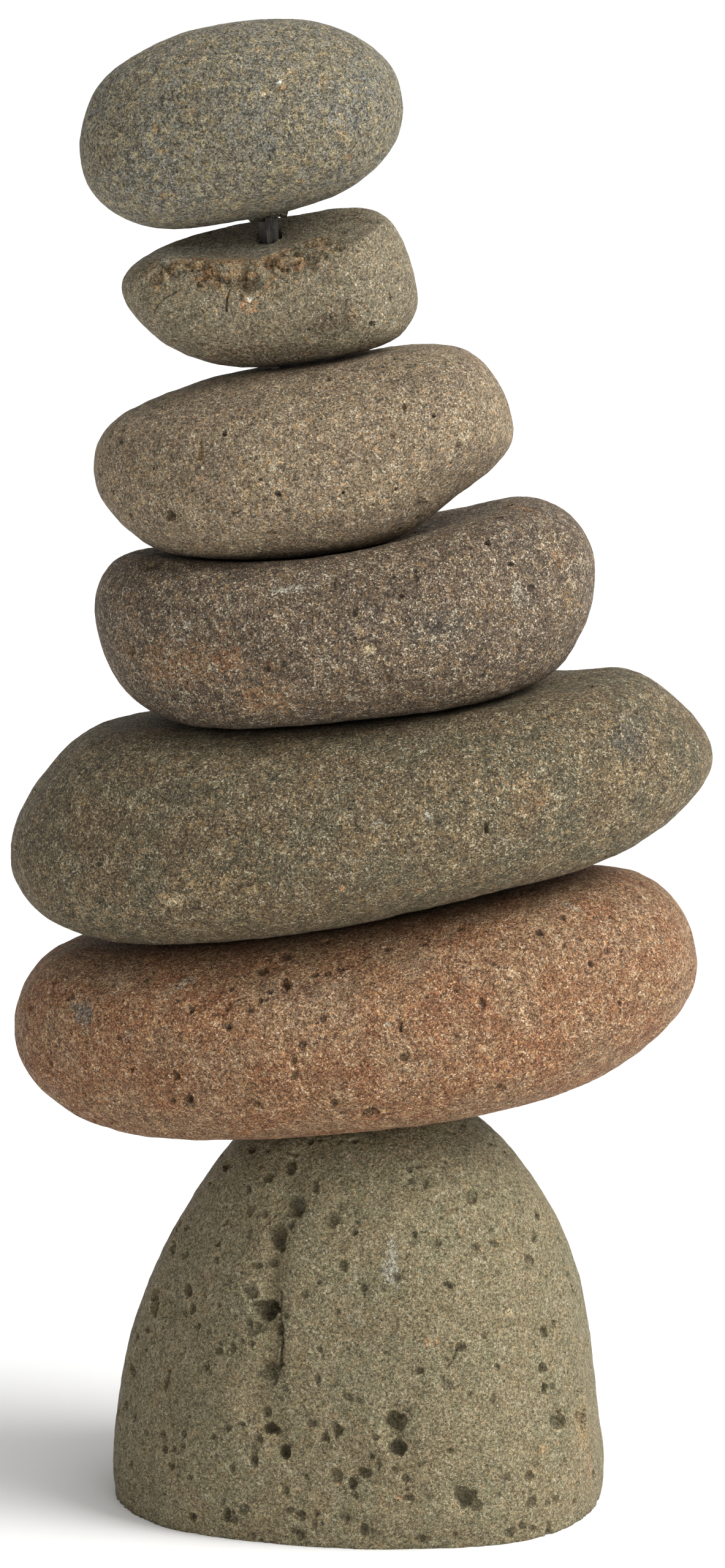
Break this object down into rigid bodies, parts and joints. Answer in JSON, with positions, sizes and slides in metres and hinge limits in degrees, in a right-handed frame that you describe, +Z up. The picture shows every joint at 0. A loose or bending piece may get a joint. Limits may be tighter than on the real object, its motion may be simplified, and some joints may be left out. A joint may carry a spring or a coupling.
{
  "type": "stone cairn",
  "caption": "Free-standing garden cairn: flat river stones stacked on a leaning steel bar above a domed boulder with a flat sawn foot.",
  "frame": {"origin": "middle of the flat sawn foot of the base stone", "axes": "+Z up the stack, +X to the right seen from the front, -Y towards the viewer"},
  "size_m": [0.2904, 0.1791, 0.6095],
  "materials": {
    "olive_rock": "porous olive-grey lava stone with open gas pits",
    "red_rock": "finely porous red-brown stone",
    "green_rock": "river-worn olive stone with cream speckle",
    "purple_rock": "river-worn purple-brown stone with rusty patches",
    "tan_rock": "river-worn tan stone with small pits",
    "rusty_rock": "smooth grey-green stone with a rusty broken front",
    "grey_rock": "smooth grey stone with white and ochre speckle",
    "dark_steel": "dark mill-scale steel"
  },
  "bodies": {
    "root": {"base_stone": "olive_rock", "red_stone": "red_rock", "green_stone": "green_rock", "purple_stone": "purple_rock", "tan_stone": "tan_rock", "block_stone": "rusty_rock", "top_stone": "grey_rock", "steel_bar": "dark_steel"}
  },
  "joints": []
}
